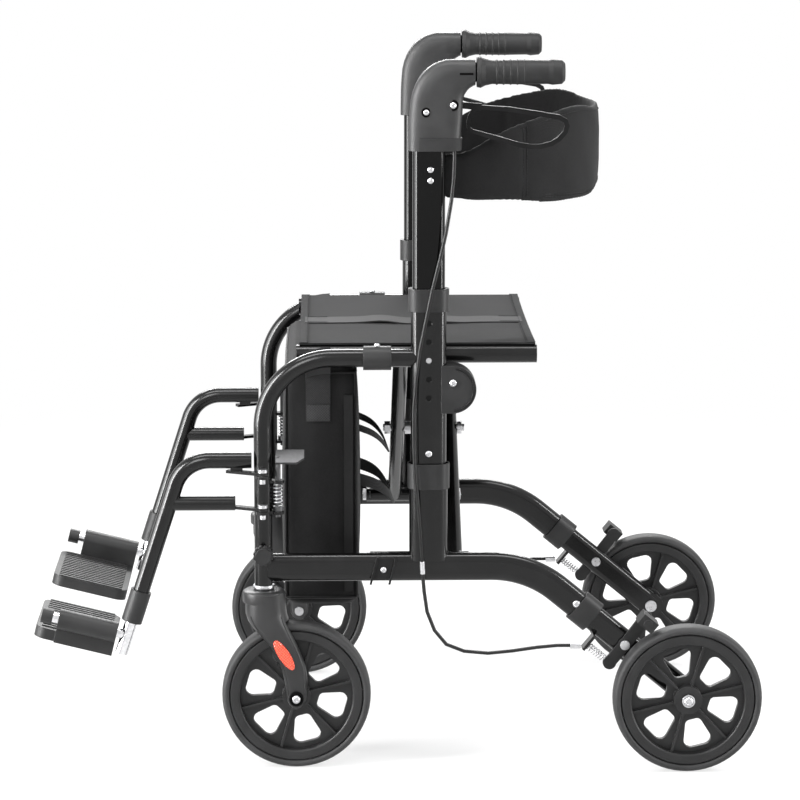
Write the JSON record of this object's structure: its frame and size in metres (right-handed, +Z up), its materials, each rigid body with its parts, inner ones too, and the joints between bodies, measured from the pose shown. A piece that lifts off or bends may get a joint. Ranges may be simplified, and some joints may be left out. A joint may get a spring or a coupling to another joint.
{
  "type": "rollator transport chair",
  "caption": "Folding rollator that turns into a transport chair: cloth seat on a cross brace, sliding handles with brakes, backrest band, swing-away footrests, front casters, rear brakes.",
  "frame": {"origin": "middle of the bounding box on the floor", "axes": "+X towards the footrests and front casters, +Y towards the sitter's left, +Z up"},
  "size_m": [0.9764, 0.588, 0.9545],
  "materials": {
    "frame_paint": "satin",
    "leg_paint": "satin",
    "gloss_paint": "gloss",
    "lever_paint": "satin",
    "collar_plastic": "matte",
    "fork_plastic": "matte",
    "wheel_plastic": "matte",
    "handle_plastic": "matte",
    "brake_plastic": "matte",
    "plate_plastic": "matte",
    "knob_plastic": "matte",
    "tyre_rubber": "matte",
    "grip_rubber": "matte",
    "cable_jacket": "satin",
    "zinc_steel": "satin",
    "spring_steel": "satin",
    "latch_steel": "satin",
    "chrome_leg": "polished",
    "seat_fabric": "matte",
    "band_fabric": "matte",
    "bag_fabric": "matte"
  },
  "bodies": {
    "right_frame": {"right_front_hoop": "frame_paint", "right_lower_rail": "frame_paint", "right_post": "frame_paint", "right_collars": "collar_plastic", "right_rear_leg": "leg_paint", "right_seat_rests": "collar_plastic", "right_frame_pins": "zinc_steel", "right_brake_cable": "cable_jacket", "right_springs": "spring_steel", "bag": "bag_fabric"},
    "right_caster": {"right_caster_fork": "fork_plastic", "right_caster_bolts": "zinc_steel"},
    "right_front_wheel": {"right_front_rim": "wheel_plastic", "right_front_tyre": "tyre_rubber"},
    "right_rear_wheel": {"right_rear_rim": "wheel_plastic", "right_rear_tyre": "tyre_rubber"},
    "right_handle": {"right_upper_post": "gloss_paint", "right_handle": "handle_plastic", "right_grip": "grip_rubber", "backrest": "band_fabric"},
    "right_lever": {"right_brake_lever": "lever_paint"},
    "right_brake": {"right_brake_arm": "brake_plastic"},
    "right_button": {"right_height_button": "zinc_steel"},
    "right_footrest": {"right_hanger": "frame_paint", "right_hanger_sleeve": "collar_plastic"},
    "right_foot_slide": {"right_footrest_leg": "chrome_leg"},
    "right_foot_flap": {"right_footplate": "plate_plastic"},
    "right_latch": {"right_latch": "latch_steel"},
    "right_knob": {"right_knob": "knob_plastic"},
    "left_frame": {"left_front_hoop": "frame_paint", "left_lower_rail": "frame_paint", "left_post": "frame_paint", "left_collars": "collar_plastic", "left_rear_leg": "leg_paint", "left_seat_rests": "collar_plastic", "left_frame_pins": "zinc_steel", "left_brake_cable": "cable_jacket", "left_springs": "spring_steel"},
    "left_caster": {"left_caster_fork": "fork_plastic", "left_caster_bolts": "zinc_steel"},
    "left_front_wheel": {"left_front_rim": "wheel_plastic", "left_front_tyre": "tyre_rubber"},
    "left_rear_wheel": {"left_rear_rim": "wheel_plastic", "left_rear_tyre": "tyre_rubber"},
    "left_handle": {"left_upper_post": "gloss_paint", "left_handle": "handle_plastic", "left_grip": "grip_rubber"},
    "left_lever": {"left_brake_lever": "lever_paint"},
    "left_brake": {"left_brake_arm": "brake_plastic"},
    "left_button": {"left_height_button": "zinc_steel"},
    "left_footrest": {"left_hanger": "frame_paint", "left_hanger_sleeve": "collar_plastic"},
    "left_foot_slide": {"left_footrest_leg": "chrome_leg"},
    "left_foot_flap": {"left_footplate": "plate_plastic"},
    "left_latch": {"left_latch": "latch_steel"},
    "left_knob": {"left_knob": "knob_plastic"},
    "front_arm": {"front_brace_arm": "frame_paint", "brace_bolt": "zinc_steel", "seat_cloth": "seat_fabric"},
    "rear_arm": {"rear_brace_arm": "frame_paint"}
  },
  "joints": [
    {"name": "fold", "type": "hinge", "parent": "right_frame", "child": "front_arm", "pos_m": [0, -0.206, 0.277], "axis": [1, 0, 0], "range_deg": [0, 21], "deforming": ["seat_cloth", "backrest", "bag"]},
    {"name": "brace_cross", "type": "hinge", "parent": "front_arm", "child": "rear_arm", "pos_m": [0, 0, 0.417], "axis": [1, 0, 0], "range_deg": [-42, 0], "deforming": ["seat_cloth", "backrest", "bag"]},
    {"name": "left_frame_pivot", "type": "hinge", "parent": "rear_arm", "child": "left_frame", "pos_m": [0, 0.206, 0.277], "axis": [1, 0, 0], "range_deg": [0, 21], "deforming": ["seat_cloth", "backrest", "bag"]},
    {"name": "left_caster_swivel", "type": "hinge", "parent": "left_frame", "child": "left_caster", "pos_m": [0.17783, 0.24, 0.24], "axis": [0, 0, 1], "continuous": true},
    {"name": "left_front_wheel_spin", "type": "hinge", "parent": "left_caster", "child": "left_front_wheel", "pos_m": [0.13483, 0.24, 0.1], "axis": [0, 1, 0], "continuous": true},
    {"name": "left_rear_wheel_spin", "type": "hinge", "parent": "left_frame", "child": "left_rear_wheel", "pos_m": [-0.38817, 0.24, 0.1], "axis": [0, 1, 0], "continuous": true},
    {"name": "left_handle_height", "type": "slide", "parent": "left_frame", "child": "left_handle", "axis": [0, 0, 1], "range_m": [-0.05, 0.05], "deforming": ["left_brake_cable", "backrest"]},
    {"name": "left_lever_pull", "type": "hinge", "parent": "left_handle", "child": "left_lever", "pos_m": [-0.07317, 0.24, 0.892], "axis": [0, 1, 0], "range_deg": [0, 12], "stiffness_Nm_per_rad": 0.8},
    {"name": "left_brake_swing", "type": "hinge", "parent": "left_frame", "child": "left_brake", "pos_m": [-0.30561, 0.24, 0.16806], "axis": [0, 1, 0], "range_deg": [-5, 0], "stiffness_Nm_per_rad": 0.8, "deforming": ["left_springs"]},
    {"name": "left_button_press", "type": "slide", "parent": "left_handle", "child": "left_button", "axis": [0, -1, 0], "range_m": [0, 0.004], "stiffness_N_per_m": 300},
    {"name": "left_footrest_swing", "type": "hinge", "parent": "left_frame", "child": "left_footrest", "pos_m": [0.17783, 0.26, 0.38], "axis": [0, 0, 1], "range_deg": [0, 90]},
    {"name": "left_footrest_length", "type": "slide", "parent": "left_footrest", "child": "left_foot_slide", "axis": [0.309, 0, -0.9511], "range_m": [0, 0.05]},
    {"name": "left_footplate_flip", "type": "hinge", "parent": "left_foot_slide", "child": "left_foot_flap", "pos_m": [0.36108, 0.24, 0.18224], "axis": [-0.9703, 0, -0.2419], "range_deg": [0, 90]},
    {"name": "left_latch_turn", "type": "hinge", "parent": "left_frame", "child": "left_latch", "pos_m": [0.15783, 0.244, 0.39], "axis": [0, 0, -1], "range_deg": [0, 25], "stiffness_Nm_per_rad": 0.2, "deforming": ["left_springs"]},
    {"name": "left_knob_turn", "type": "hinge", "parent": "left_frame", "child": "left_knob", "pos_m": [0.17783, 0.24, 0.295], "axis": [0, 1, 0], "continuous": true},
    {"name": "right_caster_swivel", "type": "hinge", "parent": "right_frame", "child": "right_caster", "pos_m": [0.17783, -0.24, 0.24], "axis": [0, 0, 1], "continuous": true},
    {"name": "right_front_wheel_spin", "type": "hinge", "parent": "right_caster", "child": "right_front_wheel", "pos_m": [0.13483, -0.24, 0.1], "axis": [0, 1, 0], "continuous": true},
    {"name": "right_rear_wheel_spin", "type": "hinge", "parent": "right_frame", "child": "right_rear_wheel", "pos_m": [-0.38817, -0.24, 0.1], "axis": [0, 1, 0], "continuous": true},
    {"name": "right_handle_height", "type": "slide", "parent": "right_frame", "child": "right_handle", "axis": [0, 0, 1], "range_m": [-0.05, 0.05], "deforming": ["right_brake_cable", "backrest"]},
    {"name": "right_lever_pull", "type": "hinge", "parent": "right_handle", "child": "right_lever", "pos_m": [-0.07317, -0.24, 0.892], "axis": [0, 1, 0], "range_deg": [0, 12], "stiffness_Nm_per_rad": 0.8},
    {"name": "right_brake_swing", "type": "hinge", "parent": "right_frame", "child": "right_brake", "pos_m": [-0.30561, -0.24, 0.16806], "axis": [0, 1, 0], "range_deg": [-5, 0], "stiffness_Nm_per_rad": 0.8, "deforming": ["right_springs"]},
    {"name": "right_button_press", "type": "slide", "parent": "right_handle", "child": "right_button", "axis": [0, 1, 0], "range_m": [0, 0.004], "stiffness_N_per_m": 300},
    {"name": "right_footrest_swing", "type": "hinge", "parent": "right_frame", "child": "right_footrest", "pos_m": [0.17783, -0.26, 0.38], "axis": [0, 0, -1], "range_deg": [0, 90]},
    {"name": "right_footrest_length", "type": "slide", "parent": "right_footrest", "child": "right_foot_slide", "axis": [0.309, 0, -0.9511], "range_m": [0, 0.05]},
    {"name": "right_footplate_flip", "type": "hinge", "parent": "right_foot_slide", "child": "right_foot_flap", "pos_m": [0.36108, -0.24, 0.18224], "axis": [0.9703, 0, 0.2419], "range_deg": [0, 90]},
    {"name": "right_latch_turn", "type": "hinge", "parent": "right_frame", "child": "right_latch", "pos_m": [0.15783, -0.244, 0.39], "axis": [0, 0, 1], "range_deg": [0, 25], "stiffness_Nm_per_rad": 0.2, "deforming": ["right_springs"]},
    {"name": "right_knob_turn", "type": "hinge", "parent": "right_frame", "child": "right_knob", "pos_m": [0.17783, -0.24, 0.295], "axis": [0, 1, 0], "continuous": true}
  ],
  "couplings": [
    {"joint": "brace_cross", "follows": "fold", "ratio": -2},
    {"joint": "left_frame_pivot", "follows": "fold", "ratio": 1},
    {"joint": "left_brake_swing", "follows": "left_lever_pull", "ratio": -0.41667},
    {"joint": "right_brake_swing", "follows": "right_lever_pull", "ratio": -0.41667},
    {"joint": "right_handle_height", "follows": "left_handle_height", "ratio": 1}
  ]
}
